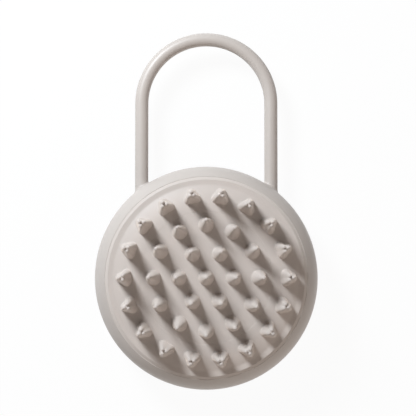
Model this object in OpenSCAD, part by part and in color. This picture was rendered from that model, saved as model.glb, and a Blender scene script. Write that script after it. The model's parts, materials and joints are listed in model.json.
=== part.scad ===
// Electric scalp massager: a round case with a soft pad of massage fingers, a loop handle,
// a side button, charging contacts, and a vibration motor on the plate behind the pad.
// The case lies on its flat back in the XY plane, +Z points out of the pad, +Y to the handle.

/* [Case] */
// Diameter of the case
case_d = 100; // [94:1:108]
// Thickness of the case walls
wall = 2; // [1.6:0.1:2.4]
// Height above the back at which the straight side ends and the front rim begins
side_top_z = 16; // [15.5:0.5:18]
// Radius of the rounded edge round the flat back
back_edge_r = 6; // [4:0.5:6.5]
// Radius of the front rim's curve
rim_r = 15.9; // [15:0.1:17]
// Slope of the rim where it meets the pad, in degrees
rim_end_tilt = 43; // [41:1:45]
// Height of the tongue that locates one shell in the other
tongue_h = 1.5; // [1:0.1:2]

/* [Massage pad] */
// Height of the pad's outer edge above the case
pad_edge_h = 1.16; // [0.9:0.01:1.5]
// Width of the sloped outer edge
pad_edge_w = 1.35; // [1:0.01:1.8]
// Width of the flat ledge round the shoulder
pad_ledge_w = 1.6; // [1:0.1:2.2]
// Radius of the shoulder's curve
shoulder_r = 31.5; // [28:0.5:34]
// Slope at the foot of the shoulder, in degrees
shoulder_tilt = 21; // [18:1:23]
// Radius of the cove between the shoulder and the ledge
cove_r = 3.3; // [2:0.1:4]
// Thickness of the pad's face between the fingers
pad_t = 3; // [2.4:0.1:3.6]
// Thickness of the neck and hook that hold the pad in the case
pad_neck_t = 1.4; // [1.2:0.1:1.6]

/* [Massage fingers] */
// Height of the finger tips above the pad's flat face
finger_h = 19; // [15:0.5:22]
// Diameter of a plain finger at its base
finger_base_d = 6.7; // [5.6:0.1:7.4]
// Radius of a plain finger's tip
finger_tip_r = 0.75; // [0.5:0.05:1.2]
// Number of fingers in the first ring
ring_1_count = 6; // [5:1:7]
// Number of fingers in the second ring
ring_2_count = 12; // [9:1:13]
// Number of three-lobed fingers on the shoulder
ring_3_count = 18; // [14:1:20]
// Distance from the second ring to the edge of the pad's flat face
ring_2_inset = 6; // [5:0.1:7]
// Distance from the edge of the flat face out to the ring of three-lobed fingers
ring_3_outset = 6.7; // [6:0.1:7]
// Outward lean of the first ring, in degrees
ring_1_lean = 2.4; // [0:0.1:4]
// Outward lean of the second ring, in degrees
ring_2_lean = 4.6; // [0:0.1:6]
// Outward lean of the three-lobed fingers, in degrees
ring_3_lean = 0.9; // [0:0.1:3]
// Radius of one lobe at the base of a three-lobed finger
lobe_base_r = 1.92; // [1.5:0.02:2.1]
// Distance of the lobes from the finger's axis at its base
lobe_base_out = 2.09; // [1.6:0.01:2.3]
// Radius of the ball on each lobe
nub_r = 0.7; // [0.5:0.05:0.9]
// Distance of the balls from the finger's axis
nub_out = 1.05; // [0.9:0.05:1.4]
// Depth of the hollow between the three balls
nub_hollow = 2; // [1.5:0.1:4]

/* [Handle] */
// Diameter of the handle's round bar
bar_d = 6; // [5:0.1:7]
// Distance between the handle's two legs, centre to centre
leg_spacing = 58.7; // [54:0.1:62]
// Distance from the centre of the case to the top of the loop
handle_reach = 111.4; // [100:0.1:120]
// Radius of the blend where a leg meets the case
root_fillet = 1.5; // [0.8:0.1:1.8]
// Length of the spigot inside the case
spigot_l = 11; // [9:0.5:12]
// Diameter of the spigot
spigot_d = 5; // [4.4:0.1:5.4]

/* [Side controls] */
// Height of the button, the contacts and the handle above the back
side_z = 11; // [10.5:0.1:11.5]
// Angle of the button and of the contacts from the end away from the handle, in degrees
control_angle = 20; // [18:1:22]
// Width of the button
button_w = 6.6; // [6:0.1:7.4]
// Height of the button
button_h = 3; // [2.6:0.1:3.4]
// Travel of the button
button_travel = 0.4; // [0.25:0.05:0.5]
// Width of one charging contact
contact_w = 2.8; // [2.4:0.1:3]
// Height of a charging contact
contact_h = 2.2; // [1.8:0.1:2.4]
// Gap between the two contacts
contact_gap = 0.8; // [0.6:0.1:1]
// How far flat faces stand proud of the curved side
face_proud = 0.25; // [0.2:0.05:0.5]

/* [Motor] */
// Diameter of the motor can
motor_d = 15.5; // [14:0.1:16]
// Length of the motor can
motor_l = 20; // [18:0.5:22]
// Distance of the motor's axis from the centre of the case
motor_y = 12; // [11:0.5:14]
// Diameter of the motor shaft
shaft_d = 2; // [1.5:0.1:2.3]
// Radius of the eccentric weight
weight_r = 6.5; // [5:0.1:7]
// Length of the eccentric weight
weight_l = 6; // [4:0.5:7]

/* [Battery] */
// Diameter of the battery cell
cell_d = 14.2; // [13:0.1:14.6]
// Length of the battery cell
cell_l = 49; // [44:0.5:51]
// Distance of the cell's axis from the centre of the case
cell_y = 9; // [8:0.5:10]

/* [Control board] */
// Length of the board
board_l = 38; // [34:0.5:40]
// Thickness of the board
board_t = 1.2; // [0.8:0.1:1.6]

/* [Fasteners] */
// Diameter of the screws' shanks
screw_d = 2; // [1.7:0.1:2.2]
// Diameter of the screws' heads
screw_head_d = 3.8; // [3.4:0.1:4]

/* [Fits] */
// Radial clearance of a screw in its hole
screw_fit = 0.05; // [0.02:0.01:0.1]
// Clearance between pieces that are put together by hand
loose_fit = 0.1; // [0.05:0.01:0.15]
// Radial clearance of the shaft in its bushes
running_fit = 0.05; // [0.02:0.01:0.08]

/* [Hidden] */
$fn = 64;
eps = 0.01;

shell_colour = [0.80, 0.77, 0.74];
pad_colour = [0.79, 0.76, 0.73];
steel_colour = [0.72, 0.73, 0.75];
inner_colour = [0.45, 0.46, 0.48];
rubber_colour = [0.55, 0.53, 0.51];

// Case
case_r = case_d / 2;
rim_cx = case_r - rim_r;
land_z = side_top_z + rim_r * cos(rim_end_tilt);
land_r = rim_cx + rim_r * sin(rim_end_tilt);
split_z = side_top_z - 1;
tongue_t = wall / 2;
seal_h = 0.6;
in_r = case_r - wall;

// Pad: the outline is worked inwards from the edge of the case's top land
pad_r = land_r - 0.25;
ledge_r = pad_r - pad_edge_w;
cove_end_r = ledge_r - pad_ledge_w;
shoulder_end_r = cove_end_r - cove_r * sin(shoulder_tilt);
plateau_r = shoulder_end_r - shoulder_r * sin(shoulder_tilt);
ledge_z = land_z + pad_edge_h;
cove_drop = cove_r * (1 - cos(shoulder_tilt));
shoulder_drop = shoulder_r * (1 - cos(shoulder_tilt));
plateau_z = ledge_z + cove_drop + shoulder_drop;
pad_under_z = plateau_z - pad_t;
finger_sink = 1;

// Fingers
ring_2_r = plateau_r - ring_2_inset;
ring_1_r = ring_2_r * 0.517;
ring_3_r = plateau_r + ring_3_outset;

// Carrier: a shallow inverted dish that fills the pad's neck from inside
carrier_t = 2;
carrier_r = land_r - 7.5;
opening_r = carrier_r + pad_neck_t + loose_fit;
hook_r = opening_r + pad_neck_t - loose_fit;
hook_top_z = land_z - wall;
hook_z = hook_top_z - 1;
carrier_flange_z = hook_z - carrier_t;
carrier_under_z = pad_under_z - carrier_t;
carrier_flange_r = hook_r + loose_fit;

// Screws
case_screw_count = 5;
screw_r = screw_d / 2;
screw_hole_r = screw_r + screw_fit;
screw_pass_r = screw_r + loose_fit;
screw_head_r = screw_head_d / 2;
screw_head_h = 1.2;
case_boss_r = screw_r + 1.5;
case_boss_x = carrier_flange_r + case_boss_r + 0.2;
case_step = 360 / case_screw_count;
case_screw_az = [for (k = [0:case_screw_count - 1]) 90 + k * case_step];
ear_az = [for (a = case_screw_az) a + case_step / 2];
ear_r = screw_head_r + 0.4;
ear_boss_r = screw_r + 0.7;
ear_x = hook_r + ear_boss_r + 0.15;
case_head_z = 5;
plug_h = 1.5;
case_screw_l = 14;
boss_hole_l = 6;
ear_screw_grip = 1.9;
ear_hole_l = 2;

// Handle
bar_r = bar_d / 2;
loop_r = leg_spacing / 2;
arc_y = handle_reach - loop_r - bar_r;
leg_x = loop_r;
leg_wall_y = sqrt(pow(case_r, 2) - pow(leg_x, 2));
spigot_r = spigot_d / 2;
spigot_end_y = leg_wall_y - spigot_l;
socket_r = spigot_r + 1.8;
socket_end_y = spigot_end_y - 1.5;
handle_screw_y = spigot_end_y + 3;
leg_seal_h = 1.2;
leg_seal_y = handle_screw_y + 3;
leg_seal_r = spigot_r - 0.7;
root_gap = 0.05;
root_overlap = 0.05;

// Side controls, in a frame whose +X is the outward normal of the case's side
button_az = -90 + control_angle;
contact_az = -90 - control_angle;
gasket_t = 0.6;
hole_w = button_w + 2 * (gasket_t + loose_fit);
hole_h = button_h + 2 * (gasket_t + loose_fit);
flange_w = button_w + 1.8;
flange_h = button_h + 1.8;
wall_sag = in_r - sqrt(pow(in_r, 2) - pow(flange_w / 2, 2));
flange_x = -wall - wall_sag - 0.1;
flange_t = 1;
stem_r = 1.2;
switch_face_x = -8.2;
switch_w = 6;
switch_d = 3.5;
switch_top = 2.8;
plunger_r = 1.1;
plunger_l = button_travel + 0.6;
plunger_in = 0.9;
block_w = 2 * contact_w + contact_gap + 2;
block_h = contact_h + 1.6;

// Board
board_top_z = side_z - 3.8;
board_far_y = -(in_r - 9);
post_r = screw_r + 1.2;
board_rest_w = 6;
board_rest_d = 3;
board_screw_grip = 3;

// Battery
cell_r = cell_d / 2;
cell_z = wall + 0.7 + cell_r;
cradle_gap = 0.3;
cradle_w = 6;
cradle_t = 1.2;
cradle_x = cell_l * 0.3;
cradle_top_z = cell_z - cell_r * 0.35;
strap_t = 1.2;
strap_w = 8;
strap_ear = 2 * screw_head_r + 1;
strap_ear_y = cell_r + cradle_gap + strap_t + strap_ear / 2;
tab_t = 0.3;
tab_w = 5;
tab_h = 8;
tab_gap = 0.02;
strap_screw_grip = 4;
cell_cap_r = 2.8;
cell_cap_l = 1.2;

// The board fills the space between the battery's strap and the case's side
board_near_y = -(cell_y + strap_ear_y + strap_ear / 2 + 0.6);
board_w = board_near_y - board_far_y;
board_mid_y = (board_near_y + board_far_y) / 2;
post_x = board_l / 2 - post_r - 0.6;
post_y = board_near_y - post_r - 0.6;

// Motor: its axis runs along X; x = 0 of the motor frame is the can's shaft end
motor_r = motor_d / 2;
motor_z = carrier_under_z - 1 - motor_r;
motor_x = 6;
can_t = 0.8;
shaft_r = shaft_d / 2;
bush_r = shaft_r + 1.4;
magnet_t = 1.3;
magnet_gap = 0.05;
air_gap = 0.4;
armature_r = motor_r - can_t - magnet_gap - magnet_t - air_gap;
armature_l = motor_l * 0.42;
armature_x = -motor_l * 0.5;
commutator_r = shaft_r + 1.2;
commutator_l = 3;
cap_t = 2.2;
weight_gap = 1.6;
saddle_w = 6;
saddle_gap = 0.1;
clamp_t = 1.4;
clamp_ear = 2 * screw_head_r + 1;
clamp_ear_y = motor_r + saddle_gap + clamp_t + clamp_ear / 2 - 0.4;
clamp_top = 0.45;
clamp_screw_grip = 4;
saddle_xs = [motor_x - 5, motor_x - motor_l + 5 - saddle_w];

lead_r = 0.55;
lead_lift = 0.45;
lead_rise = 2;
lead_inset = 4;

// ---------------------------------------------------------------- shared shapes

// Point at parameter u of the smooth curve through a route (Catmull-Rom)
function on_curve(route, u) = let (
        n = len(route),
        k = min(floor(u), n - 2),
        t = u - k,
        p0 = route[max(k - 1, 0)],
        p1 = route[k],
        p2 = route[k + 1],
        p3 = route[min(k + 2, n - 1)])
    0.5 * (2 * p1 + (p2 - p0) * t + (2 * p0 - 5 * p1 + 4 * p2 - p3) * t * t
        + (3 * p1 - p0 - 3 * p2 + p3) * t * t * t);

function unit(v) = v / norm(v);

// Round lead swept along the smooth curve through a route
module lead(route, r = lead_r) {
    sides = 8;
    steps = (len(route) - 1) * 4;
    path = [for (k = [0:steps]) on_curve(route, k * (len(route) - 1) / steps)];
    rings = [for (k = [0:steps]) let (
            d = unit(path[min(k + 1, steps)] - path[max(k - 1, 0)]),
            side = unit(cross(d, [0.31, 0.17, 0.94])),
            up = cross(side, d))
        [for (j = [0:sides - 1])
            path[k] + r * (cos(360 * j / sides) * side + sin(360 * j / sides) * up)]];
    points = [for (ring = rings) each ring];
    walls = [for (k = [0:steps - 1]) for (j = [0:sides - 1]) let (
            a = k * sides + j,
            b = k * sides + (j + 1) % sides)
        each [[a, b, b + sides], [a, b + sides, a + sides]]];
    near_end = [for (j = [sides - 1:-1:0]) j];
    far_end = [for (j = [0:sides - 1]) steps * sides + j];
    polyhedron(points = points, faces = concat(walls, [near_end, far_end]), convexity = 6);
}

// Stadium-shaped bar along X, centred on the axis: w across Y, h along Z
module pill(w, h, x0, x1) {
    translate([x0, -(w - h) / 2, -h / 2]) cube([x1 - x0, w - h, h]);
    for (s = [-1, 1])
        translate([x0, s * (w - h) / 2, 0]) rotate([0, 90, 0]) cylinder(d = h, h = x1 - x0);
}

// Cylinder along X
module x_cylinder(r, x0, x1) {
    translate([x0, 0, 0]) rotate([0, 90, 0]) cylinder(r = r, h = x1 - x0);
}

// Frame at the case's side, +X along the outward normal
module at_side(az) {
    rotate([0, 0, az]) translate([case_r, 0, side_z]) children();
}

// Points round the case at radius r
module around(angles, r) {
    for (a = angles) rotate([0, 0, a]) translate([r, 0, 0]) children();
}

// Pan-head screw: seat of the head at z = 0, shank along +Z
module screw(l, r = screw_r, head_r = screw_head_r) {
    cylinder(r = r, h = l);
    difference() {
        translate([0, 0, -screw_head_h]) cylinder(r = head_r, h = screw_head_h);
        for (a = [0, 90])
            rotate([0, 0, a])
                translate([-head_r * 0.6, -0.25, -screw_head_h - eps]) cube([head_r * 1.2, 0.5, 0.6]);
    }
}

// Half section of the case's outside, drawn in by t
module case_profile(t) {
    intersection() {
        union() {
            translate([rim_cx, side_top_z]) circle(r = rim_r - t);
            translate([0, side_top_z]) square([rim_cx, rim_r - t]);
            translate([0, back_edge_r]) square([case_r - t, side_top_z - back_edge_r]);
            translate([case_r - back_edge_r, back_edge_r]) circle(r = back_edge_r - t);
            translate([0, t]) square([case_r - back_edge_r, back_edge_r - t]);
        }
        square([case_r + 1, land_z - t]);
    }
}

// Case volume drawn in by t, between two heights
module case_volume(t, z0, z1) {
    rotate_extrude()
        intersection() {
            case_profile(t);
            translate([0, z0]) square([case_r + 1, z1 - z0]);
        }
}

// ---------------------------------------------------------------- case

module front_shell() {
    color(shell_colour)
    difference() {
        union() {
            difference() {
                case_volume(0, split_z, land_z);
                case_volume(wall, split_z - 1, land_z);
            }
            intersection() {
                union() {
                    around(case_screw_az, case_boss_x)
                        translate([0, 0, split_z]) cylinder(r = case_boss_r, h = land_z - split_z);
                    around(ear_az, ear_x)
                        translate([0, 0, hook_z]) cylinder(r = ear_boss_r, h = land_z - hook_z);
                }
                case_volume(wall / 2, split_z, land_z);
            }
        }
        // Opening that the pad's neck fills
        translate([0, 0, hook_top_z - 1]) cylinder(r = opening_r, h = wall + 2);
        // Rebate for the rear shell's tongue and the seal
        translate([0, 0, split_z - 1])
            cylinder(r = in_r + tongue_t + loose_fit, h = tongue_h + seal_h + 1);
        around(case_screw_az, case_boss_x)
            translate([0, 0, split_z - 1]) cylinder(r = screw_hole_r, h = boss_hole_l + 1);
        around(ear_az, ear_x)
            translate([0, 0, hook_z - 1]) cylinder(r = screw_hole_r, h = ear_hole_l + 1);
    }
}

// Bosses and cradles that stand on the rear shell's floor
module rear_posts() {
    around(case_screw_az, case_boss_x)
        translate([0, 0, wall / 2]) cylinder(r = case_boss_r, h = split_z - wall / 2);
    for (s = [-1, 1]) translate([s * post_x, post_y, wall / 2])
        cylinder(r = post_r, h = board_top_z - board_t - wall / 2);
    // Rest for the outer edge of the board
    translate([-board_rest_w / 2, board_far_y - board_rest_d / 2, wall / 2])
        cube([board_rest_w, board_rest_d, board_top_z - board_t - wall / 2]);
    // Handle sockets, each on a rib down to the floor
    for (s = [-1, 1]) {
        translate([s * leg_x, socket_end_y, side_z]) rotate([-90, 0, 0])
            cylinder(r = socket_r, h = leg_wall_y + 6 - socket_end_y);
        translate([s * leg_x - socket_r, socket_end_y, wall / 2])
            cube([2 * socket_r, leg_wall_y + 6 - socket_end_y, side_z - wall / 2]);
    }
    // Battery cradles
    for (s = [-1, 1])
        translate([s * cradle_x - cradle_w / 2, -cell_y - cell_r - cradle_gap - cradle_t, wall / 2])
            cube([cradle_w, 2 * (cell_r + cradle_gap + cradle_t), cradle_top_z - wall / 2]);
    // Posts for the battery strap
    for (s = [-1, 1])
        translate([-strap_w / 2, -cell_y + s * strap_ear_y - strap_ear / 2, wall / 2])
            cube([strap_w, strap_ear, cell_z - wall / 2]);
}

module rear_shell() {
    color(shell_colour)
    difference() {
        union() {
            difference() {
                case_volume(0, 0, split_z);
                case_volume(wall, 0, split_z + 1);
            }
            // Tongue inside the front shell's rebate
            translate([0, 0, split_z - 2])
                difference() {
                    cylinder(r = in_r + tongue_t, h = 2 + tongue_h);
                    translate([0, 0, -1]) cylinder(r = in_r, h = 4 + tongue_h);
                }
            intersection() {
                rear_posts();
                case_volume(wall / 2, wall / 2, split_z);
            }
        }
        around(case_screw_az, case_boss_x) {
            translate([0, 0, -1]) cylinder(r = screw_pass_r, h = split_z + 2);
            translate([0, 0, -1]) cylinder(r = screw_head_r + loose_fit, h = case_head_z + 1);
        }
        for (s = [-1, 1]) {
            translate([s * post_x, post_y, wall]) cylinder(r = screw_hole_r, h = board_top_z);
            // Sockets for the handle's spigots
            translate([s * leg_x, spigot_end_y - loose_fit, side_z]) rotate([-90, 0, 0])
                cylinder(r = spigot_r + loose_fit, h = spigot_l + 20);
            translate([s * leg_x, handle_screw_y, side_z])
                cylinder(r = screw_pass_r, h = socket_r + 1);
            translate([s * leg_x, handle_screw_y, side_z + socket_r - 0.8])
                cylinder(r = screw_head_r + loose_fit, h = 2);
            translate([0, -cell_y + s * strap_ear_y, wall]) cylinder(r = screw_hole_r, h = cell_z);
        }
        translate([-cell_l / 2, -cell_y, cell_z]) x_cylinder(cell_r + cradle_gap, -1, cell_l + 1);
        at_side(button_az) {
            pill(hole_w, hole_h, -wall / 2, 2);
            pill(button_w + 2 * loose_fit, button_h + 2 * loose_fit, -wall - 3, 2);
        }
        at_side(contact_az) pill(block_w + 2 * loose_fit, block_h + 2 * loose_fit, -wall - 3, 2);
    }
}

module case_seal() {
    color(rubber_colour)
    translate([0, 0, split_z + tongue_h])
        difference() {
            cylinder(r = in_r + tongue_t, h = seal_h);
            translate([0, 0, -1]) cylinder(r = in_r, h = seal_h + 2);
        }
}

module case_screws() {
    color(steel_colour)
    around(case_screw_az, case_boss_x) translate([0, 0, case_head_z]) screw(case_screw_l);
}

module screw_plugs() {
    color(rubber_colour)
    around(case_screw_az, case_boss_x) translate([0, 0, 0.1]) cylinder(r = screw_head_r, h = plug_h);
}

// ---------------------------------------------------------------- massage pad

// Half section of the pad without its fingers
module pad_profile() {
    difference() {
        union() {
            // Face and shoulder
            intersection() {
                translate([0, plateau_z - shoulder_r]) union() {
                    translate([plateau_r, 0]) circle(r = shoulder_r, $fn = 180);
                    square([plateau_r, shoulder_r]);
                }
                translate([0, pad_under_z]) square([shoulder_end_r, plateau_z]);
            }
            // Cove down to the ledge
            difference() {
                translate([shoulder_end_r - 1, land_z])
                    square([ledge_r - shoulder_end_r + 1, pad_edge_h + cove_drop]);
                translate([cove_end_r, ledge_z + cove_r]) circle(r = cove_r, $fn = 120);
                translate([cove_end_r, ledge_z]) square([10, 10]);
            }
            // Sloped outer edge
            polygon([[shoulder_end_r - 2, land_z], [pad_r, land_z],
                [ledge_r + 0.35, ledge_z - 0.12], [ledge_r, ledge_z], [shoulder_end_r - 2, ledge_z]]);
            // Neck through the case's opening and the hook under its edge
            translate([carrier_r + loose_fit, hook_z])
                square([pad_neck_t - loose_fit, land_z - hook_z + 0.5]);
            translate([carrier_r + loose_fit, hook_z])
                square([hook_r - carrier_r - loose_fit, hook_top_z - hook_z]);
        }
        // Underside above the carrier
        translate([-1, 0]) square([carrier_r + loose_fit + 1, pad_under_z]);
    }
}

// Plain finger: a slim cone with a ball tip, standing on z = 0
module plain_finger(h) {
    cylinder(d1 = finger_base_d, r2 = finger_tip_r * 0.97, h = h - finger_tip_r);
    translate([0, 0, h - finger_tip_r]) sphere(r = finger_tip_r);
}

// Three-lobed finger: three leaning cones, each with a ball, on a core that fills the valleys between them
// up to the hollow between the balls; one lobe along +X
module lobed_finger(h) {
    ball_z = h - nub_r;
    for (a = [0, 120, 240]) rotate([0, 0, a]) {
        lean = atan((lobe_base_out - nub_out) / ball_z);
        l = ball_z / cos(lean);
        translate([lobe_base_out, 0, 0]) rotate([0, -lean, 0]) {
            cylinder(r1 = lobe_base_r, r2 = nub_r * 0.97, h = l);
            translate([0, 0, l]) sphere(r = nub_r);
        }
    }
    cylinder(r1 = lobe_base_out + lobe_base_r * 0.42, r2 = nub_out * 1.1, h = h - nub_hollow);
}

// Height of the shoulder's surface at radius r
function shoulder_z(r) = plateau_z - shoulder_r + sqrt(pow(shoulder_r, 2) - pow(r - plateau_r, 2));

module massage_pad() {
    tip_z = plateau_z + finger_h;
    base_1_z = plateau_z - finger_sink;
    base_3_z = shoulder_z(ring_3_r + lobe_base_out + lobe_base_r) - finger_sink * 0.3;
    color(pad_colour)
    union() {
        rotate_extrude() pad_profile();
        translate([0, 0, base_1_z]) plain_finger(tip_z - base_1_z);
        around([for (k = [0:ring_1_count - 1]) k * 360 / ring_1_count], ring_1_r)
            translate([0, 0, base_1_z]) rotate([0, ring_1_lean, 0]) plain_finger(tip_z - base_1_z);
        around([for (k = [0:ring_2_count - 1]) k * 360 / ring_2_count], ring_2_r)
            translate([0, 0, base_1_z]) rotate([0, ring_2_lean, 0]) plain_finger(tip_z - base_1_z);
        around([for (k = [0:ring_3_count - 1]) k * 360 / ring_3_count], ring_3_r)
            translate([0, 0, base_3_z]) rotate([0, ring_3_lean, 0]) lobed_finger(tip_z - base_3_z);
    }
}

module pad_carrier() {
    color(inner_colour)
    difference() {
        union() {
            rotate_extrude() difference() {
                union() {
                    translate([0, carrier_flange_z])
                        square([carrier_r, pad_under_z - carrier_flange_z]);
                    translate([0, carrier_flange_z]) square([carrier_flange_r, carrier_t]);
                }
                translate([-1, carrier_flange_z - 1])
                    square([carrier_r - carrier_t + 1, carrier_under_z - carrier_flange_z + 1]);
            }
            around(ear_az, 0) translate([hook_r - 3, -ear_r, carrier_flange_z])
                cube([ear_x - hook_r + 3, 2 * ear_r, carrier_t]);
            around(ear_az, ear_x) translate([0, 0, carrier_flange_z]) cylinder(r = ear_r, h = carrier_t);
            // Saddles over the motor and stiffening ribs beside them
            for (x = saddle_xs)
                translate([x, motor_y - clamp_ear_y - clamp_ear / 2, motor_z + 0.5])
                    cube([saddle_w, 2 * clamp_ear_y + clamp_ear, carrier_under_z - motor_z]);
            for (s = [-1, 1])
                translate([-carrier_r + 1.5, s * 25 - 0.75, carrier_under_z - 2])
                    intersection() {
                        cube([2 * carrier_r - 3, 1.5, 2.5]);
                        translate([carrier_r - 1.5, -s * 25 + 0.75, 0]) cylinder(r = carrier_r - 1, h = 3);
                    }
        }
        around(ear_az, ear_x) translate([0, 0, carrier_flange_z - 1]) cylinder(r = screw_pass_r, h = 4);
        translate([0, motor_y, motor_z]) x_cylinder(motor_r + saddle_gap, motor_x - motor_l - 8, motor_x + 1);
        for (x = saddle_xs) for (s = [-1, 1])
            translate([x + saddle_w / 2, motor_y + s * clamp_ear_y, motor_z])
                cylinder(r = screw_hole_r, h = 6);
    }
}

module carrier_screws() {
    color(steel_colour)
    around(ear_az, ear_x) translate([0, 0, carrier_flange_z]) screw(carrier_t + ear_screw_grip);
}

// ---------------------------------------------------------------- handle

// Blend round the foot of a leg: rings that follow the curve of the case's side
module root_blend() {
    steps = 6;
    sides = 36;
    flare = root_fillet + root_overlap;
    rings = [for (k = [0:steps]) [bar_r - root_overlap + flare * (1 - sin(90 * k / steps)),
        root_gap + root_fillet * (1 - cos(90 * k / steps))]];
    core = [[spigot_r - 0.4, root_gap + root_fillet], [spigot_r - 0.4, root_gap]];
    loops = concat(rings, core);
    n = len(loops);
    points = [for (l = loops) for (j = [0:sides - 1]) let (
            x = leg_x + l[0] * cos(360 * j / sides))
        [x, sqrt(pow(case_r, 2) - pow(x, 2)) + l[1], side_z + l[0] * sin(360 * j / sides)]];
    faces = [for (i = [0:n - 1]) for (j = [0:sides - 1]) let (
            a = i * sides + j,
            b = i * sides + (j + 1) % sides,
            c = ((i + 1) % n) * sides + (j + 1) % sides,
            d = ((i + 1) % n) * sides + j)
        each [[a, b, c], [a, c, d]]];
    polyhedron(points = points, faces = faces, convexity = 4);
}

module handle_loop() {
    color(shell_colour)
    difference() {
        union() {
            translate([0, arc_y, side_z]) rotate_extrude(angle = 180)
                translate([loop_r, 0]) circle(r = bar_r);
            for (s = [-1, 1]) {
                // Leg, cut to the curve of the case's side
                difference() {
                    translate([s * leg_x, leg_wall_y - 6, side_z]) rotate([-90, 0, 0])
                        cylinder(r = bar_r, h = arc_y - leg_wall_y + 6);
                    translate([0, 0, side_z - bar_r - 1])
                        cylinder(r = case_r + root_gap + 0.3, h = bar_d + 2);
                }
                translate([s * leg_x, spigot_end_y, side_z]) rotate([-90, 0, 0])
                    cylinder(r = spigot_r, h = spigot_l + 8);
            }
            root_blend();
            mirror([1, 0, 0]) root_blend();
        }
        for (s = [-1, 1])
            translate([s * leg_x, handle_screw_y, side_z - 1])
                cylinder(r = screw_hole_r, h = spigot_r + 2);
        // Grooves for the seals
        for (s = [-1, 1])
            translate([s * leg_x, leg_seal_y - 0.05, side_z]) rotate([-90, 0, 0])
                difference() {
                    cylinder(r = spigot_r + 1, h = leg_seal_h + 0.1);
                    translate([0, 0, -1]) cylinder(r = leg_seal_r, h = leg_seal_h + 3);
                }
    }
}

module handle_seals() {
    color(rubber_colour)
    for (s = [-1, 1])
        translate([s * leg_x, leg_seal_y, side_z]) rotate([-90, 0, 0])
            difference() {
                cylinder(r = spigot_r + loose_fit - 0.02, h = leg_seal_h);
                translate([0, 0, -1]) cylinder(r = leg_seal_r + 0.02, h = leg_seal_h + 2);
            }
}

module handle_screws() {
    color(steel_colour)
    for (s = [-1, 1])
        translate([s * leg_x, handle_screw_y, side_z + socket_r - 0.8]) mirror([0, 0, 1])
            screw(socket_r);
}

// ---------------------------------------------------------------- button and contacts

module power_button() {
    color(shell_colour)
    at_side(button_az) {
        pill(button_w, button_h, flange_x, face_proud);
        pill(flange_w, flange_h, flange_x - flange_t, flange_x);
        x_cylinder(stem_r, switch_face_x + plunger_l + 0.05, flange_x);
    }
}

module button_gasket() {
    color(rubber_colour)
    at_side(button_az)
        difference() {
            pill(hole_w - 2 * loose_fit, hole_h - 2 * loose_fit, -wall / 2 + 0.05, -0.25);
            pill(button_w + 2 * loose_fit, button_h + 2 * loose_fit, -wall, 1);
        }
}

module tact_switch() {
    color(inner_colour)
    at_side(button_az)
        difference() {
            translate([switch_face_x - switch_d, -switch_w / 2, board_top_z - side_z])
                cube([switch_d, switch_w, side_z - board_top_z + switch_top]);
            x_cylinder(plunger_r + 0.1, switch_face_x - plunger_in - button_travel - 0.3, switch_face_x + 1);
        }
}

module switch_plunger() {
    color("dimgray")
    at_side(button_az) x_cylinder(plunger_r, switch_face_x - plunger_in, switch_face_x + plunger_l);
}

module contact_block() {
    color(inner_colour)
    at_side(contact_az)
        difference() {
            union() {
                pill(block_w, block_h, -wall - 1, -0.15);
                pill(block_w + 1.8, block_h + 1.8, -wall - 2.2, -wall - 0.35);
            }
            for (s = [-1, 1])
                translate([-wall - 4, s * (contact_w + contact_gap) / 2 - contact_w / 2 - 0.05,
                    -contact_h / 2 - 0.05])
                    cube([wall + 6, contact_w + 0.1, contact_h + 0.1]);
        }
}

module charge_contacts() {
    color("silver")
    at_side(contact_az)
        for (s = [-1, 1])
            translate([-wall - 2.6, s * (contact_w + contact_gap) / 2 - contact_w / 2, -contact_h / 2])
                cube([wall + 2.6 + face_proud - 0.05, contact_w, contact_h]);
}

// ---------------------------------------------------------------- control board

module control_board() {
    color("darkgreen")
    difference() {
        translate([-board_l / 2, board_far_y, board_top_z - board_t]) cube([board_l, board_w, board_t]);
        for (s = [-1, 1]) translate([s * post_x, post_y, 0]) cylinder(r = screw_pass_r, h = side_z);
    }
}

module board_screws() {
    color(steel_colour)
    for (s = [-1, 1]) translate([s * post_x, post_y, board_top_z]) mirror([0, 0, 1])
        screw(board_t + board_screw_grip);
}

module control_chip() {
    color([0.15, 0.15, 0.16])
    translate([-3.5, board_mid_y, board_top_z]) {
        translate([0, 0, 0.3]) cube([5, 4, 1.2]);
        for (k = [0:3]) for (s = [0, 1])
            translate([0.4 + k * 1.27, s ? 4 : -0.8, 0]) cube([0.4, 0.8, 0.5]);
    }
}

module board_capacitor() {
    color([0.2, 0.22, 0.3])
    translate([5, board_mid_y + 3, board_top_z]) cylinder(r = 2, h = 5);
}

// ---------------------------------------------------------------- battery

module battery_cell() {
    color([0.3, 0.45, 0.6])
    translate([-cell_l / 2, -cell_y, cell_z]) {
        x_cylinder(cell_r, 0, cell_l - cell_cap_l);
        x_cylinder(cell_cap_r, cell_l - cell_cap_l - eps, cell_l);
    }
}

module battery_tabs() {
    color(steel_colour)
    for (s = [-1, 1])
        translate([s * (cell_l / 2 + tab_t / 2 + tab_gap) - tab_t / 2, -cell_y - tab_w / 2, cell_z - tab_h / 2])
            cube([tab_t, tab_w, tab_h]);
}

module battery_strap() {
    color(inner_colour)
    translate([-strap_w / 2, -cell_y, cell_z])
        difference() {
            union() {
                x_cylinder(cell_r + cradle_gap + strap_t, 0, strap_w);
                translate([0, -strap_ear_y - strap_ear / 2, 0])
                    cube([strap_w, 2 * strap_ear_y + strap_ear, strap_t]);
            }
            x_cylinder(cell_r + 0.1, -1, strap_w + 1);
            translate([-1, -cell_d, -cell_d]) cube([strap_w + 2, 2 * cell_d, cell_d]);
            for (s = [-1, 1]) translate([strap_w / 2, s * strap_ear_y, -1])
                cylinder(r = screw_pass_r, h = strap_t + 2);
        }
}

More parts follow.
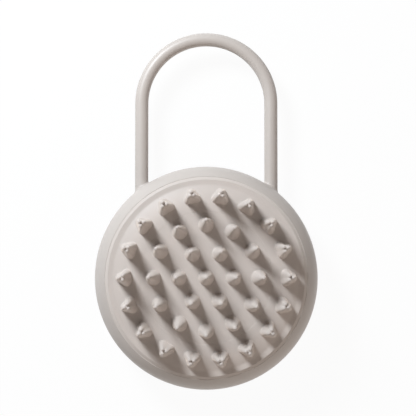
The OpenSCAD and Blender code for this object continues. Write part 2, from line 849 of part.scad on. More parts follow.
module strap_screws() {
    color(steel_colour)
    for (s = [-1, 1])
        translate([0, -cell_y + s * strap_ear_y, cell_z + strap_t]) mirror([0, 0, 1])
            screw(strap_t + strap_screw_grip);
}

// ---------------------------------------------------------------- motor

module at_motor() {
    translate([motor_x, motor_y, motor_z]) children();
}

module motor_can() {
    color(steel_colour)
    at_motor()
        difference() {
            union() {
                x_cylinder(motor_r, -motor_l, 0);
                x_cylinder(bush_r + 0.8, 0, 1);
            }
            x_cylinder(motor_r - can_t, -motor_l - 1, -can_t);
            x_cylinder(bush_r, -can_t - 1, 2);
        }
}

module motor_end_cap() {
    color("ivory")
    at_motor()
        difference() {
            union() {
                x_cylinder(motor_r, -motor_l - cap_t, -motor_l - 0.05);
                x_cylinder(motor_r - can_t - 0.05, -motor_l - 1, -motor_l + 1.5);
            }
            x_cylinder(bush_r, -motor_l - cap_t - 1, -motor_l + 3);
            x_cylinder(motor_r - can_t - 1.6, -motor_l - 0.4, -motor_l + 3);
        }
}

module motor_bushes() {
    color("goldenrod")
    at_motor() {
        difference() {
            x_cylinder(bush_r - 0.01, -1.6, 1);
            x_cylinder(shaft_r + running_fit, -3, 3);
        }
        difference() {
            x_cylinder(bush_r - 0.01, -motor_l - cap_t, -motor_l - 0.4);
            x_cylinder(shaft_r + running_fit, -motor_l - cap_t - 1, -motor_l + 1);
        }
    }
}

module motor_magnets() {
    outer = motor_r - can_t - magnet_gap;
    color([0.25, 0.25, 0.27])
    at_motor()
        for (a = [0, 180]) rotate([a, 0, 0])
            intersection() {
                difference() {
                    x_cylinder(outer, armature_x - armature_l / 2 - 1, armature_x + armature_l / 2 + 1);
                    x_cylinder(outer - magnet_t, -motor_l - 1, 1);
                }
                translate([-motor_l, -outer, outer * 0.25]) cube([motor_l, 2 * outer, outer]);
            }
}

module motor_armature() {
    color([0.4, 0.4, 0.42])
    at_motor()
        translate([armature_x - armature_l / 2, 0, 0]) rotate([90, 0, 90])
            linear_extrude(armature_l)
                difference() {
                    union() {
                        circle(r = shaft_r + 1.1);
                        for (a = [0, 120, 240]) rotate(a) {
                            translate([0, -0.8]) square([armature_r - 0.6, 1.6]);
                            intersection() {
                                difference() {
                                    circle(r = armature_r);
                                    circle(r = armature_r - 0.9);
                                }
                                polygon([[0, 0], [2 * armature_r, -2 * armature_r * tan(48)],
                                    [2 * armature_r, 2 * armature_r * tan(48)]]);
                            }
                        }
                    }
                    circle(r = shaft_r + 0.01);
                }
}

// Coils round the three poles: blocks with a slot for the pole
module motor_windings() {
    coil_in = shaft_r + 1.3;
    coil_out = armature_r - 1.25;
    color("peru")
    at_motor()
        for (a = [0, 120, 240]) rotate([a, 0, 0])
            difference() {
                translate([armature_x - armature_l / 2 - 0.9, coil_in, -1.5])
                    cube([armature_l + 1.8, coil_out - coil_in, 3]);
                translate([armature_x - armature_l / 2 - 0.05, 0, -0.85])
                    cube([armature_l + 0.1, armature_r, 1.7]);
            }
}

module motor_commutator() {
    color("orange")
    at_motor()
        difference() {
            x_cylinder(commutator_r, -motor_l + 0.6, -motor_l + 0.6 + commutator_l);
            x_cylinder(shaft_r + 0.01, -motor_l, -motor_l + 6);
        }
}

// Carbon blocks on spring arms that stand on the end cap
module motor_brushes() {
    brush_in = commutator_r + 0.05;
    arm_in = brush_in + 1.2;
    color([0.2, 0.2, 0.2])
    at_motor()
        for (a = [0, 180]) rotate([a, 0, 0]) {
            translate([-motor_l + 1, brush_in, -0.75]) cube([2, arm_in - brush_in + eps, 1.5]);
            translate([-motor_l - 0.38, arm_in, -0.6]) cube([3.6, 0.3, 1.2]);
        }
}

module motor_shaft() {
    color(steel_colour)
    at_motor() x_cylinder(shaft_r, -motor_l - cap_t + 0.3, weight_gap + weight_l + 0.5);
}

// Heavy sector that hangs below the shaft at rest
module eccentric_weight() {
    color("dimgray")
    at_motor()
        translate([weight_gap, 0, 0]) rotate([90, 0, 90])
            linear_extrude(weight_l)
                difference() {
                    union() {
                        circle(r = shaft_r + 1.6);
                        intersection() {
                            circle(r = weight_r);
                            polygon([[0, shaft_r], [-2 * weight_r, -weight_r * 0.4], [-2 * weight_r, -2 * weight_r],
                                [2 * weight_r, -2 * weight_r], [2 * weight_r, -weight_r * 0.4]]);
                        }
                    }
                    circle(r = shaft_r + 0.01);
                }
}

module motor_clamp() {
    color(inner_colour)
    for (x = saddle_xs)
        translate([x, motor_y, motor_z])
            difference() {
                union() {
                    x_cylinder(motor_r + saddle_gap + clamp_t, 0, saddle_w);
                    translate([0, -clamp_ear_y - clamp_ear / 2, clamp_top - clamp_t])
                        cube([saddle_w, 2 * clamp_ear_y + clamp_ear, clamp_t]);
                }
                x_cylinder(motor_r + saddle_gap, -1, saddle_w + 1);
                translate([-1, -motor_d, clamp_top]) cube([saddle_w + 2, 2 * motor_d, motor_d]);
                for (s = [-1, 1]) translate([saddle_w / 2, s * clamp_ear_y, clamp_top - clamp_t - 1])
                    cylinder(r = screw_pass_r, h = clamp_t + 2);
            }
}

module clamp_screws() {
    color(steel_colour)
    for (x = saddle_xs) for (s = [-1, 1])
        translate([x + saddle_w / 2, motor_y + s * clamp_ear_y, motor_z + clamp_top - clamp_t])
            screw(clamp_t + clamp_screw_grip);
}

// ---------------------------------------------------------------- leads

module motor_leads() {
    end_x = motor_x - motor_l - cap_t;
    left_x = -cell_l / 2 - 3;
    land_x = -board_l / 2 + lead_inset;
    color("firebrick")
    for (s = [-1, 1])
        lead([[end_x - 0.5, motor_y + s * 3, motor_z], [end_x - 2.5, motor_y + s * 3, motor_z],
            [left_x - s, 2, cell_z + 3 + s], [left_x - s, -cell_y - cell_r, cell_z],
            [land_x - s * 1.2, board_far_y + 5, board_top_z + lead_rise],
            [land_x - s * 1.2, board_far_y + 5, board_top_z + lead_lift]]);
}

module battery_leads() {
    color("black")
    for (s = [-1, 1])
        lead([[s * (cell_l / 2 + 0.9), -cell_y, cell_z - 2.5], [s * (cell_l / 2 + 1.5), -cell_y - 3, cell_z - 2.5],
            [s * (cell_l / 2 + 1.2), -cell_y - cell_r, cell_z - 2],
            [s * (cell_l / 2 - 5), board_near_y, cell_z - 1],
            [s * (post_x - 7), board_mid_y - 1, board_top_z + lead_rise],
            [s * (post_x - 7), board_mid_y - 1, board_top_z + lead_lift]]);
}

module charge_leads() {
    color("darkred")
    at_side(contact_az)
        for (s = [-1, 1]) {
            side = s * (contact_w + contact_gap) / 2;
            lead([[-wall - 2.9, side, 0], [-wall - 4, side, 0],
                [-wall - 8.5, side, board_top_z - side_z + lead_rise],
                [-wall - 8.5, side, board_top_z - side_z + lead_lift]]);
        }
}

front_shell();
rear_shell();
case_seal();
case_screws();
screw_plugs();
massage_pad();
pad_carrier();
carrier_screws();
handle_loop();
handle_seals();
handle_screws();
power_button();
button_gasket();
switch_plunger();
tact_switch();
contact_block();
charge_contacts();
control_board();
board_screws();
control_chip();
board_capacitor();
battery_cell();
battery_tabs();
battery_strap();
strap_screws();
motor_can();
motor_end_cap();
motor_bushes();
motor_magnets();
motor_brushes();
motor_clamp();
clamp_screws();
motor_shaft();
motor_armature();
motor_windings();
motor_commutator();
eccentric_weight();
motor_leads();
battery_leads();
charge_leads();
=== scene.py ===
"""The looks of the scalp massager: smooth outer pieces, procedural materials, and a plain studio."""
import json
import math

import bpy
from mathutils import Matrix, Vector

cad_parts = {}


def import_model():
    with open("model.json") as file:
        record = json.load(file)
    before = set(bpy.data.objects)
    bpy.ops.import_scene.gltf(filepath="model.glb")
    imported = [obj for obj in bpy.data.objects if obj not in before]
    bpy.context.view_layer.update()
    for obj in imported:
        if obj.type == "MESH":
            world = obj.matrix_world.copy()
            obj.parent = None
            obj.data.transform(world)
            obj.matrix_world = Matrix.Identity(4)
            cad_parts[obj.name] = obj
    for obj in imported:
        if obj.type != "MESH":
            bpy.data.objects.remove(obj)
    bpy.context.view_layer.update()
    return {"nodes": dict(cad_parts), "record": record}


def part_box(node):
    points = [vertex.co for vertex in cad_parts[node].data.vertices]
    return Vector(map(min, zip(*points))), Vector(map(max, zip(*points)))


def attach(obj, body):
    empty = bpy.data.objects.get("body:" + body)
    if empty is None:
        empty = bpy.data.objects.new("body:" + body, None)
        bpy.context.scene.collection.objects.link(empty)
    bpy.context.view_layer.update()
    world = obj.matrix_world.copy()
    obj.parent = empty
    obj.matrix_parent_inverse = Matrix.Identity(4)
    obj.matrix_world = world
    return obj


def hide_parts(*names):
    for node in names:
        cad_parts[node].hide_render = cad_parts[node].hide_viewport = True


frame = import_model()
nodes = frame["nodes"]

MM = 0.001
TAU = 2 * math.pi

# ---------------------------------------------------------------- sizes, in millimetres


def box_mm(node):
    """Lowest and highest corner of a CAD node, in millimetres."""
    low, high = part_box(node)
    return [c / MM for c in low], [c / MM for c in high]


# Case
CASE_R = box_mm("rear_shell")[1][0]
LAND_Z = box_mm("front_shell")[1][2]
WALL = 2.0
RIM_R = 15.9
RIM_END_TILT = math.radians(43)
LAND_R = CASE_R - RIM_R + RIM_R * math.sin(RIM_END_TILT)

# Pad
PAD_R = box_mm("massage_pad")[1][0]
PAD_FOOT_Z = box_mm("massage_pad")[0][2]
EDGE_H = 1.16
EDGE_W = 1.35
LEDGE_W = 1.6
SHOULDER_R = 31.5
SHOULDER_TILT = math.radians(21)
COVE_R = 3.3
FACE_T = 3.0
NECK_T = 1.4
CARRIER_R = LAND_R - 7.5
NECK_IN_R = CARRIER_R + 0.1
NECK_R = CARRIER_R + NECK_T
HOOK_R = NECK_R + NECK_T
HOOK_TOP_Z = LAND_Z - WALL
EDGE_ROUND_R = 0.55
EDGE_ROUND_ARC = math.radians(46)
EDGE_ROUND_IN = 0.1
EDGE_FOOT = 0.12
EDGE_FOOT_RISE = 0.14
SKIRT_GAP = 0.02
SKIRT_RISE = 0.04
SEAT_GAP = 0.01

LEDGE_R = PAD_R - EDGE_W
LEDGE_Z = LAND_Z + EDGE_H
COVE_END_R = LEDGE_R - LEDGE_W
SHOULDER_END_R = COVE_END_R - COVE_R * math.sin(SHOULDER_TILT)
PLATEAU_R = SHOULDER_END_R - SHOULDER_R * math.sin(SHOULDER_TILT)
COVE_DROP = COVE_R * (1 - math.cos(SHOULDER_TILT))
PLATEAU_Z = LEDGE_Z + COVE_DROP + SHOULDER_R * (1 - math.cos(SHOULDER_TILT))
WITNESS_W = 0.4
WITNESS_DEPTH = 0.1
PAD_SEGMENTS = 240

# Fingers
FINGER_H = 19.0
FINGER_BASE_R = 3.35
FINGER_TIP_R = 0.86
FINGER_BULGE = 1.06
NECK_SHARE = 0.72
FINGER_FILLET = 0.45
FILLET_LIFT = 0.004
FINGER_FOOT = 0.5
FINGER_SINK = 0.6
SETTLE_H = 6.0
NECK_DROP = 1.1
NECK_H = 0.4
BALL_STEPS = 12
PLAIN_SEGMENTS = 40
RING_2_R = PLATEAU_R - 6.0
RING_1_R = RING_2_R * 0.517
RING_3_R = PLATEAU_R + 6.7
RING_COUNTS = (1, 6, 12, 18)
RING_LEANS = (0.0, math.radians(2.4), math.radians(4.6), math.radians(0.9))
LOBE_BASE_R = 1.92
LOBE_BASE_OUT = 2.09
VALLEY_BASE_R = 2.9
VALLEY_TOP_R = 1.15
NUB_R = 0.72
NUB_OUT = 1.05
NUB_HOLLOW = 2.0
STEM_ROUNDING = 1.0
STEM_DRAW_IN = 0.55
NUB_ROOT = 1.0
LOBED_SEGMENTS = 60
NUB_SEGMENTS = 24

# Handle
BAR_R = 3.0
HANDLE_Z = (box_mm("handle_loop")[0][2] + box_mm("handle_loop")[1][2]) / 2
HANDLE_REACH = box_mm("handle_loop")[1][1]
LOOP_R = 58.7 / 2
ARC_Y = HANDLE_REACH - BAR_R - LOOP_R
ROOT_FILLET = 1.5
ROOT_GAP = 0.05
SPIGOT_R = 2.5
BAR_SEGMENTS = 64
BEND_STEPS = 96
SPIGOT_END_Y = box_mm("handle_loop")[0][1]

# ---------------------------------------------------------------- mesh helpers


def mesh_object(name, verts, faces, sharp_angle=35):
    """A smooth-shaded object from points in millimetres, with edges over sharp_angle left crisp."""
    mesh = bpy.data.meshes.new(name)
    mesh.from_pydata([Vector(v) * MM for v in verts], [], faces)
    mesh.validate()
    mesh.update()
    shade(mesh, sharp_angle)
    obj = bpy.data.objects.new(name, mesh)
    bpy.context.scene.collection.objects.link(obj)
    return obj


def shade(mesh, sharp_angle):
    """Smooth shading, except across edges over sharp_angle degrees."""
    for polygon in mesh.polygons:
        polygon.use_smooth = True
    mesh.set_sharp_from_angle(angle=math.radians(sharp_angle))


def lathe(profile, segments):
    """Points and faces of a closed solid of revolution. The profile starts and ends on the axis."""
    verts = [(0, 0, profile[0][1])]
    rings = []
    for r, z in profile[1:-1]:
        rings.append(len(verts))
        verts += [(r * math.cos(TAU * k / segments), r * math.sin(TAU * k / segments), z)
                  for k in range(segments)]
    last = len(verts)
    verts.append((0, 0, profile[-1][1]))
    faces = []
    for k in range(segments):
        n = (k + 1) % segments
        faces.append((0, rings[0] + k, rings[0] + n))
        for a, b in zip(rings, rings[1:]):
            faces.append((a + k, b + k, b + n, a + n))
        faces.append((last, rings[-1] + n, rings[-1] + k))
    return verts, faces


def stack(rings):
    """Faces of a closed skin over rings of points that go upwards, anticlockwise seen from above."""
    verts = [p for ring in rings for p in ring]
    n = len(rings[0])
    faces = [tuple(reversed(range(n)))]
    for i in range(len(rings) - 1):
        for k in range(n):
            m = (k + 1) % n
            faces.append((i * n + k, i * n + m, (i + 1) * n + m, (i + 1) * n + k))
    top = (len(rings) - 1) * n
    faces.append(tuple(range(top, top + n)))
    return verts, faces


def joined(parts):
    """Several (points, faces) as one."""
    verts, faces = [], []
    for part_verts, part_faces in parts:
        start = len(verts)
        verts += part_verts
        faces += [tuple(i + start for i in face) for face in part_faces]
    return verts, faces


def arc(cx, cz, r, start, end, count):
    """Points on an arc of a profile, angles in radians."""
    return [(cx + r * math.cos(start + (end - start) * k / count),
             cz + r * math.sin(start + (end - start) * k / count)) for k in range(count + 1)]


def smoothstep(t):
    t = min(max(t, 0.0), 1.0)
    return t * t * (3 - 2 * t)


def lerp(a, b, t):
    return a + (b - a) * t


# ---------------------------------------------------------------- massage pad


def pad_height(r):
    """Height of the pad's bare face at radius r."""
    if r <= PLATEAU_R:
        return PLATEAU_Z
    return PLATEAU_Z - SHOULDER_R + math.sqrt(SHOULDER_R ** 2 - (r - PLATEAU_R) ** 2)


def pad_body():
    """The pad without its fingers, turned about the axis."""
    up = math.pi / 2
    profile = [(0, PLATEAU_Z), (PLATEAU_R - WITNESS_W, PLATEAU_Z)]
    profile += [(PLATEAU_R - WITNESS_W / 2, PLATEAU_Z - WITNESS_DEPTH)]
    profile += arc(PLATEAU_R, PLATEAU_Z - SHOULDER_R, SHOULDER_R, up, up - SHOULDER_TILT, 24)
    cove = arc(COVE_END_R, LEDGE_Z + COVE_R, COVE_R, -up - SHOULDER_TILT, -up, 8)
    profile += cove[1:]
    profile += arc(LEDGE_R - EDGE_ROUND_IN, LEDGE_Z - EDGE_ROUND_R, EDGE_ROUND_R, up, up - EDGE_ROUND_ARC, 8)
    skirt_r = PAD_R - SKIRT_GAP
    seat_z = LAND_Z + SEAT_GAP
    profile += [(PAD_R - EDGE_FOOT, LAND_Z + EDGE_FOOT_RISE), (skirt_r, LAND_Z + SKIRT_RISE), (skirt_r, seat_z)]
    profile += [(NECK_R, seat_z), (NECK_R, HOOK_TOP_Z), (HOOK_R, HOOK_TOP_Z), (HOOK_R, PAD_FOOT_Z)]
    profile += [(NECK_IN_R, PAD_FOOT_Z), (NECK_IN_R, PLATEAU_Z - FACE_T), (0, PLATEAU_Z - FACE_T)]
    return lathe(profile, PAD_SEGMENTS)


def finger_skin(outline, heights, x0, lean, segments):
    """Rings of one finger on the +X axis. outline(s, angle) is its radius at height s above the face.

    The rings next to the face follow it, and the higher ones turn level. heights ends at the tip.
    """
    def point(radius, angle, s):
        x = x0 + s * math.tan(lean) + radius * math.cos(angle)
        y = radius * math.sin(angle)
        face = pad_height(math.hypot(x, y))
        level = pad_height(x0)
        return (x, y, s + lerp(face, level, smoothstep(s / SETTLE_H)))

    angles = [TAU * k / segments for k in range(segments)]
    foot = [point(outline(0, a) + FINGER_FILLET, a, 0) for a in angles]
    rings = [[(x, y, z - FINGER_SINK) for x, y, z in foot]]
    steps = 6
    for k in range(steps):
        turn = math.pi / 2 * k / steps
        out = FINGER_FILLET * (1 - math.sin(turn))
        s = FILLET_LIFT + FINGER_FILLET * (1 - math.cos(turn))
        rings.append([point(outline(s, a) + out, a, s) for a in angles])
    for s in heights:
        rings.append([point(outline(s, a), a, s) for a in angles])
    return stack(rings)


def ball_end(ball_r, neck_r, start):
    """Heights and radii of a neck that starts at start and of the ball on it, up to a finger's tip."""
    centre = FINGER_H - ball_r
    low = -math.acos(neck_r / ball_r)
    turns = [lerp(low, math.pi / 2, k / BALL_STEPS) for k in range(BALL_STEPS + 1)]
    heights = [start] + [centre + ball_r * math.sin(turn) for turn in turns]
    radii = [neck_r] + [max(ball_r * math.cos(turn), 0.01) for turn in turns]
    return heights, radii


def plain_finger(x0, lean):
    """Slim cone with a ball tip on a slight neck."""
    ball_s = FINGER_H - FINGER_TIP_R
    neck_r = FINGER_TIP_R * NECK_SHARE
    neck_s = ball_s - NECK_DROP
    ball = dict(zip(*ball_end(FINGER_TIP_R, neck_r, neck_s + NECK_H)))

    def outline(s, angle):
        return ball.get(s, lerp(FINGER_BASE_R, neck_r, (s / neck_s) ** FINGER_BULGE))

    heights = [lerp(FINGER_FOOT, neck_s, k / 14) for k in range(15)]
    return finger_skin(outline, heights + list(ball), x0, lean, PLAIN_SEGMENTS)


def lobed_finger(x0, lean):
    """A stem with three soft lobes and a rounded top, and three small balls on it; one lobe along +X."""
    stem_top = FINGER_H - NUB_HOLLOW
    ball_s = FINGER_H - NUB_R

    def lobe_out(s):
        return lerp(LOBE_BASE_OUT, NUB_OUT, s / ball_s)

    def outline(s, angle):
        reach = lobe_out(s) + lerp(LOBE_BASE_R, NUB_R, s / ball_s)
        valley = lerp(VALLEY_BASE_R, VALLEY_TOP_R, s / stem_top)
        closing = max(s - stem_top + STEM_ROUNDING, 0) / STEM_ROUNDING
        drawn_in = STEM_DRAW_IN * (1 - math.sqrt(max(1 - closing * closing, 0)))
        return (reach + valley) / 2 * (1 - drawn_in) + (reach - valley) / 2 * math.cos(3 * angle)

    heights = [lerp(FINGER_FOOT, stem_top - STEM_ROUNDING, k / 16) for k in range(17)]
    heights += [stem_top - STEM_ROUNDING * (1 - math.sin(math.pi / 2 * k / 6)) for k in range(1, 7)]
    parts = [finger_skin(outline, heights, x0, lean, LOBED_SEGMENTS)]
    level = pad_height(x0)
    angles = [TAU * k / NUB_SEGMENTS for k in range(NUB_SEGMENTS)]
    steps, sizes = ball_end(NUB_R, NUB_R * NECK_SHARE, stem_top - NUB_ROOT)
    for k in range(3):
        turn = TAU * k / 3
        rings = []
        for s, size in zip(steps, sizes):
            cx = x0 + s * math.tan(lean) + lobe_out(s) * math.cos(turn)
            cy = lobe_out(s) * math.sin(turn)
            rings.append([(cx + size * math.cos(a), cy + size * math.sin(a), level + s) for a in angles])
        parts.append(stack(rings))
    return parts


def turned(part, angle):
    """A part turned about the case's axis."""
    c, s = math.cos(angle), math.sin(angle)
    return [(c * x - s * y, s * x + c * y, z) for x, y, z in part[0]], part[1]


def unite(obj, other):
    """Boolean union of two closed objects; the second is used up."""
    modifier = obj.modifiers.new("union", "BOOLEAN")
    modifier.operation = "UNION"
    modifier.solver = "MANIFOLD"
    modifier.object = other
    apply_modifiers(obj)
    bpy.data.objects.remove(other)


def apply_modifiers(obj):
    """Replaces an object's mesh by the mesh its modifiers make."""
    graph = bpy.context.evaluated_depsgraph_get()
    made = bpy.data.meshes.new_from_object(obj.evaluated_get(graph))
    obj.modifiers.clear()
    old = obj.data
    made.name = old.name + "_made"
    obj.data = made
    bpy.data.meshes.remove(old)


def massage_pad():
    """The pad and its fingers as one closed mesh."""
    plain, lobed = [], [[], [], [], []]
    for ring, radius in enumerate((0.0, RING_1_R, RING_2_R)):
        part = plain_finger(radius, RING_LEANS[ring])
        plain += [turned(part, TAU * k / RING_COUNTS[ring]) for k in range(RING_COUNTS[ring])]
    for k in range(RING_COUNTS[3]):
        for group, part in zip(lobed, lobed_finger(RING_3_R, RING_LEANS[3])):
            group.append(turned(part, TAU * k / RING_COUNTS[3]))
    pad = mesh_object("pad_with_fingers", *pad_body())
    for k, group in enumerate([plain] + lobed):
        unite(pad, mesh_object("fingers_%d" % k, *joined(group)))
    shade(pad.data, 40)
    weighted = pad.modifiers.new("normals", "WEIGHTED_NORMAL")
    weighted.mode = "FACE_AREA_WITH_ANGLE"
    weighted.keep_sharp = True
    weighted.weight = 80
    return pad


# ---------------------------------------------------------------- handle


def wall_y(x):
    """Where the case's straight side is at x, on the handle's side."""
    return math.sqrt(CASE_R ** 2 - x * x)


def handle_loop():
    """Round bar bent to a loop, with a soft blend at each foot and a spigot into the case."""
    angles = [TAU * k / BAR_SEGMENTS for k in range(BAR_SEGMENTS)]
    rings = []

    def leg_ring(radius, place):
        """One ring across the leg at +X; place(x) is the height above the X axis along Y."""
        ring = []
        for a in angles:
            x = LOOP_R + radius * math.cos(a)
            ring.append((x, place(x), HANDLE_Z + radius * math.sin(a)))
        return ring

    rings.append(leg_ring(SPIGOT_R, lambda x: SPIGOT_END_Y))
    rings.append(leg_ring(SPIGOT_R, lambda x: wall_y(x) + ROOT_GAP))
    for k in range(9):
        turn = math.pi / 2 * k / 8
        radius = BAR_R + ROOT_FILLET * (1 - math.sin(turn))
        rise = ROOT_GAP + ROOT_FILLET * (1 - math.cos(turn))
        rings.append(leg_ring(radius, lambda x, rise=rise: wall_y(x) + rise))
    start = ROOT_GAP + ROOT_FILLET
    for k in range(1, 13):
        t = k / 12
        rings.append(leg_ring(BAR_R, lambda x, t=t: lerp(wall_y(x) + start, ARC_Y, t)))
    for k in range(1, BEND_STEPS // 2 + 1):
        turn = math.pi * k / BEND_STEPS
        ring = []
        for a in angles:
            out = LOOP_R + BAR_R * math.cos(a)
            ring.append((out * math.cos(turn), ARC_Y + out * math.sin(turn), HANDLE_Z + BAR_R * math.sin(a)))
        rings.append(ring)
    # The other half is the mirror image, with each ring's points kept in step
    mirrored = [[(-x, y, z) for x, y, z in ring] for ring in reversed(rings[:-1])]
    verts, faces = stack(rings + mirrored)
    faces = [tuple(reversed(face)) for face in faces]
    return mesh_object("handle", verts, faces)


# ---------------------------------------------------------------- materials

# Noise scales are per metre, so 28 is a drift over 36 mm and 2600 a grain of 0.4 mm
DRIFT_SCALE = 28.0
COLOUR_SPREAD = 0.02
GLOSS_SCALE = 90.0
GLOSS_SPREAD = 0.06
GRAIN_SCALE = 2600.0
GRAIN_DEPTH = 0.004
BRUSHED_SCALE = (400.0, 9000.0, 9000.0)
BRUSHED_SPREAD = 0.2
SHEEN_SHARE = 0.5
SHEEN_TINT = (1.0, 0.82, 0.68, 1)
CASE_GREIGE = (0.50, 0.45, 0.415)
PAD_GREIGE = (0.60, 0.54, 0.50)


def new_material(name):
    """An empty node material: (material, its nodes, its links, its shader)."""
    material = bpy.data.materials.new(name)
    material.use_nodes = True
    tree = material.node_tree
    return material, tree.nodes, tree.links, tree.nodes["Principled BSDF"]


def noise(tree_nodes, tree_links, scale, detail=4.0):
    """Noise fixed to the object; scale is per metre."""
    place = tree_nodes.new("ShaderNodeTexCoord")
    texture = tree_nodes.new("ShaderNodeTexNoise")
    texture.inputs["Scale"].default_value = scale
    texture.inputs["Detail"].default_value = detail
    texture.inputs["Roughness"].default_value = 0.55
    tree_links.new(place.outputs["Object"], texture.inputs["Vector"])
    return texture.outputs["Fac"]


def ramp(tree_nodes, tree_links, value, low, high):
    """A two-colour or two-grey ramp driven by value."""
    mapped = tree_nodes.new("ShaderNodeValToRGB")
    mapped.color_ramp.elements[0].color = (*low, 1)
    mapped.color_ramp.elements[1].color = (*high, 1)
    mapped.color_ramp.elements[0].position = 0.3
    mapped.color_ramp.elements[1].position = 0.7
    tree_links.new(value, mapped.inputs["Fac"])
    return mapped.outputs["Color"]


def moulded(name, colour, roughness, specular=0.5, metallic=0.0, softness=0.0):
    """Moulded surface: slight drift in colour and gloss, and a fine grain of real size.

    softness, from 0 to 1, is how far it scatters light as a matt skin does, brighter where seen edge-on.
    """
    material, tree_nodes, tree_links, shader = new_material(name)
    drift = noise(tree_nodes, tree_links, DRIFT_SCALE)
    low = tuple(c * (1 - COLOUR_SPREAD) for c in colour)
    high = tuple(min(c * (1 + COLOUR_SPREAD), 1) for c in colour)
    tree_links.new(ramp(tree_nodes, tree_links, drift, low, high), shader.inputs["Base Color"])
    gloss = noise(tree_nodes, tree_links, GLOSS_SCALE, detail=6.0)
    low = (roughness * (1 - GLOSS_SPREAD),) * 3
    high = (roughness * (1 + GLOSS_SPREAD),) * 3
    tree_links.new(ramp(tree_nodes, tree_links, gloss, low, high), shader.inputs["Roughness"])
    shader.inputs["Specular IOR Level"].default_value = specular
    shader.inputs["Metallic"].default_value = metallic
    shader.inputs["Diffuse Roughness"].default_value = softness
    shader.inputs["Sheen Weight"].default_value = softness * SHEEN_SHARE
    shader.inputs["Sheen Roughness"].default_value = 0.3
    shader.inputs["Sheen Tint"].default_value = SHEEN_TINT
    fine = noise(tree_nodes, tree_links, GRAIN_SCALE, detail=2.0)
    bump = tree_nodes.new("ShaderNodeBump")
    bump.inputs["Strength"].default_value = 0.5
    bump.inputs["Distance"].default_value = GRAIN_DEPTH * MM
    tree_links.new(fine, bump.inputs["Height"])
    tree_links.new(bump.outputs["Normal"], shader.inputs["Normal"])
    return material


def brushed(name, colour, roughness):
    """Bare metal with fine drawn lines."""
    material, tree_nodes, tree_links, shader = new_material(name)
    place = tree_nodes.new("ShaderNodeTexCoord")
    mapping = tree_nodes.new("ShaderNodeMapping")
    mapping.inputs["Scale"].default_value = BRUSHED_SCALE
    texture = tree_nodes.new("ShaderNodeTexNoise")
    texture.inputs["Scale"].default_value = 1.0
    texture.inputs["Detail"].default_value = 3.0
    tree_links.new(place.outputs["Object"], mapping.inputs["Vector"])
    tree_links.new(mapping.outputs["Vector"], texture.inputs["Vector"])
    lines = texture.outputs["Fac"]
    darker = tuple(c * 0.9 for c in colour)
    tree_links.new(ramp(tree_nodes, tree_links, lines, darker, colour), shader.inputs["Base Color"])
    low = (roughness * (1 - BRUSHED_SPREAD),) * 3
    high = (roughness * (1 + BRUSHED_SPREAD),) * 3
    tree_links.new(ramp(tree_nodes, tree_links, lines, low, high), shader.inputs["Roughness"])
    shader.inputs["Metallic"].default_value = 1.0
    return material


MATERIALS = {
    "case_plastic": moulded("case_plastic", CASE_GREIGE, 0.42),
    "pad_silicone": moulded("pad_silicone", PAD_GREIGE, 0.5, specular=0.4, softness=0.5),
    "seal_rubber": moulded("seal_rubber", (0.34, 0.32, 0.30), 0.6),
    "inner_plastic": moulded("inner_plastic", (0.17, 0.18, 0.19), 0.5),
    "black_plastic": moulded("black_plastic", (0.018, 0.018, 0.02), 0.45),
    "contact_plating": brushed("contact_plating", (0.62, 0.61, 0.60), 0.3),
    "board_laminate": moulded("board_laminate", (0.012, 0.10, 0.035), 0.35),
    "cell_wrap": moulded("cell_wrap", (0.05, 0.16, 0.32), 0.3),
    "motor_nylon": moulded("motor_nylon", (0.75, 0.72, 0.62), 0.5),
    "bush_bronze": brushed("bush_bronze", (0.48, 0.27, 0.08), 0.4),
    "winding_copper": brushed("winding_copper", (0.50, 0.16, 0.06), 0.3),
    "magnet_ferrite": moulded("magnet_ferrite", (0.04, 0.04, 0.045), 0.6, metallic=0.4),
    "brush_carbon": moulded("brush_carbon", (0.02, 0.02, 0.022), 0.6),
    "lamination_steel": brushed("lamination_steel", (0.20, 0.20, 0.21), 0.45),
    "weight_metal": brushed("weight_metal", (0.22, 0.21, 0.19), 0.45),
    "steel": brushed("steel", (0.50, 0.51, 0.53), 0.32),
    "lead_red": moulded("lead_red", (0.32, 0.02, 0.015), 0.45),
    "lead_black": moulded("lead_black", (0.012, 0.012, 0.012), 0.45),
}


def dress(obj, slot):
    """Gives an object the material of a slot, alone."""
    obj.data.materials.clear()
    obj.data.materials.append(MATERIALS[slot])


SLOT_OF = {entry["node"]: entry["material_slot"] for entry in frame["record"]["subparts"]}
for node_name, node_object in nodes.items():
    dress(node_object, SLOT_OF[node_name])

for piece, node_name in ((massage_pad(), "massage_pad"), (handle_loop(), "handle_loop")):
    dress(piece, SLOT_OF[node_name])
    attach(piece, "case")
    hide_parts(node_name)

# ---------------------------------------------------------------- studio

# Places in millimetres
FLOOR_SIDE = 6.0
FLOOR_DROP = 0.0002
FLOOR_GREY = 0.8
FLOOR_SHOWN_WHITE = 0.95
FILL_FROM = (0.55, -0.76, 0.34)
FILL_LOW = (0.04, 0.04, 0.04)
FILL_HIGH = (0.76, 0.68, 0.62)
KEY_PLACE = (-301, 415, 428)
KEY_RADIUS = 100
KEY_POWER = 20.0
KEY_COLOUR = (0.94, 1.0, 1.05)
CAMERA_PLACE = (0, 0, 679)
CAMERA_AIM = (0.76, 31.4, 16)
CAMERA_LENS = 127.6


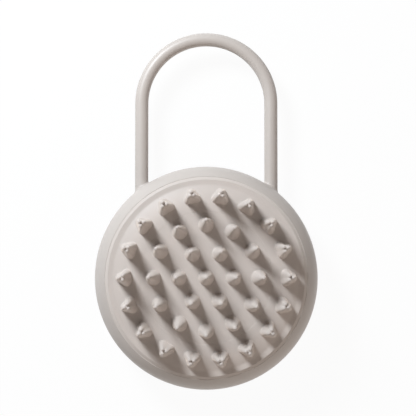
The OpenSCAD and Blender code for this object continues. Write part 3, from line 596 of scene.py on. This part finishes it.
def floor():
    """White floor under the object. The camera sees it near white, with the object's shadow."""
    half = FLOOR_SIDE / 2
    z = -FLOOR_DROP
    mesh = bpy.data.meshes.new("floor")
    mesh.from_pydata([(-half, -half, z), (half, -half, z), (half, half, z), (-half, half, z)], [], [(0, 1, 2, 3)])
    obj = bpy.data.objects.new("floor", mesh)
    bpy.context.scene.collection.objects.link(obj)
    material, tree_nodes, tree_links, shader = new_material("floor")
    shader.inputs["Base Color"].default_value = (FLOOR_GREY, FLOOR_GREY, FLOOR_GREY, 1)
    shader.inputs["Roughness"].default_value = 1.0
    shader.inputs["Specular IOR Level"].default_value = 0.0
    white = tree_nodes.new("ShaderNodeEmission")
    shown = tree_nodes.new("ShaderNodeMixShader")
    shown.inputs["Fac"].default_value = FLOOR_SHOWN_WHITE
    tree_links.new(shader.outputs["BSDF"], shown.inputs[1])
    tree_links.new(white.outputs["Emission"], shown.inputs[2])
    pick = tree_nodes.new("ShaderNodeMixShader")
    tree_links.new(seen_ray(tree_nodes, tree_links), pick.inputs["Fac"])
    tree_links.new(shader.outputs["BSDF"], pick.inputs[1])
    tree_links.new(shown.outputs["Shader"], pick.inputs[2])
    tree_links.new(pick.outputs["Shader"], tree_nodes["Material Output"].inputs["Surface"])
    mesh.materials.append(material)


def seen_ray(tree_nodes, tree_links):
    """1 for camera, glossy and transmission rays, 0 for the rays that light the object."""
    path = tree_nodes.new("ShaderNodeLightPath")
    total = path.outputs["Is Camera Ray"]
    for name in ("Is Glossy Ray", "Is Transmission Ray"):
        either = tree_nodes.new("ShaderNodeMath")
        either.operation = "MAXIMUM"
        tree_links.new(total, either.inputs[0])
        tree_links.new(path.outputs[name], either.inputs[1])
        total = either.outputs["Value"]
    return total


def world():
    """Broad soft fill light from one side, low elsewhere; white where it is seen directly."""
    made = bpy.data.worlds.new("studio")
    made.use_nodes = True
    tree_nodes, tree_links = made.node_tree.nodes, made.node_tree.links
    light = tree_nodes["Background"]
    place = tree_nodes.new("ShaderNodeTexCoord")
    facing = tree_nodes.new("ShaderNodeVectorMath")
    facing.operation = "DOT_PRODUCT"
    facing.inputs[1].default_value = Vector(FILL_FROM).normalized()
    tree_links.new(place.outputs["Generated"], facing.inputs[0])
    fill = ramp(tree_nodes, tree_links, facing.outputs["Value"], FILL_LOW, FILL_HIGH)
    tree_links.new(fill, light.inputs["Color"])
    white = tree_nodes.new("ShaderNodeBackground")
    pick = tree_nodes.new("ShaderNodeMixShader")
    tree_links.new(seen_ray(tree_nodes, tree_links), pick.inputs["Fac"])
    tree_links.new(light.outputs["Background"], pick.inputs[1])
    tree_links.new(white.outputs["Background"], pick.inputs[2])
    tree_links.new(pick.outputs["Shader"], tree_nodes["World Output"].inputs["Surface"])
    bpy.context.scene.world = made


def key_light():
    """Round lamp at the upper left, like a small softbox."""
    lamp = bpy.data.lights.new("key", "POINT")
    lamp.shadow_soft_size = KEY_RADIUS * MM
    lamp.energy = KEY_POWER
    lamp.color = KEY_COLOUR
    obj = bpy.data.objects.new("key", lamp)
    obj.location = Vector(KEY_PLACE) * MM
    bpy.context.scene.collection.objects.link(obj)


def camera():
    """Camera that looks down at the pad, with the handle up."""
    data = bpy.data.cameras.new("camera")
    data.sensor_width = 36.0
    data.lens = CAMERA_LENS
    obj = bpy.data.objects.new("camera", data)
    forward = (Vector(CAMERA_AIM) - Vector(CAMERA_PLACE)).normalized()
    right = forward.cross(Vector((0, 1, 0))).normalized()
    up = right.cross(forward)
    turn = Matrix((right, up, -forward)).transposed().to_4x4()
    obj.matrix_world = Matrix.Translation(Vector(CAMERA_PLACE) * MM) @ turn
    bpy.context.scene.collection.objects.link(obj)
    bpy.context.scene.camera = obj


floor()
world()
key_light()
camera()
bpy.context.scene.view_settings.view_transform = "Standard"
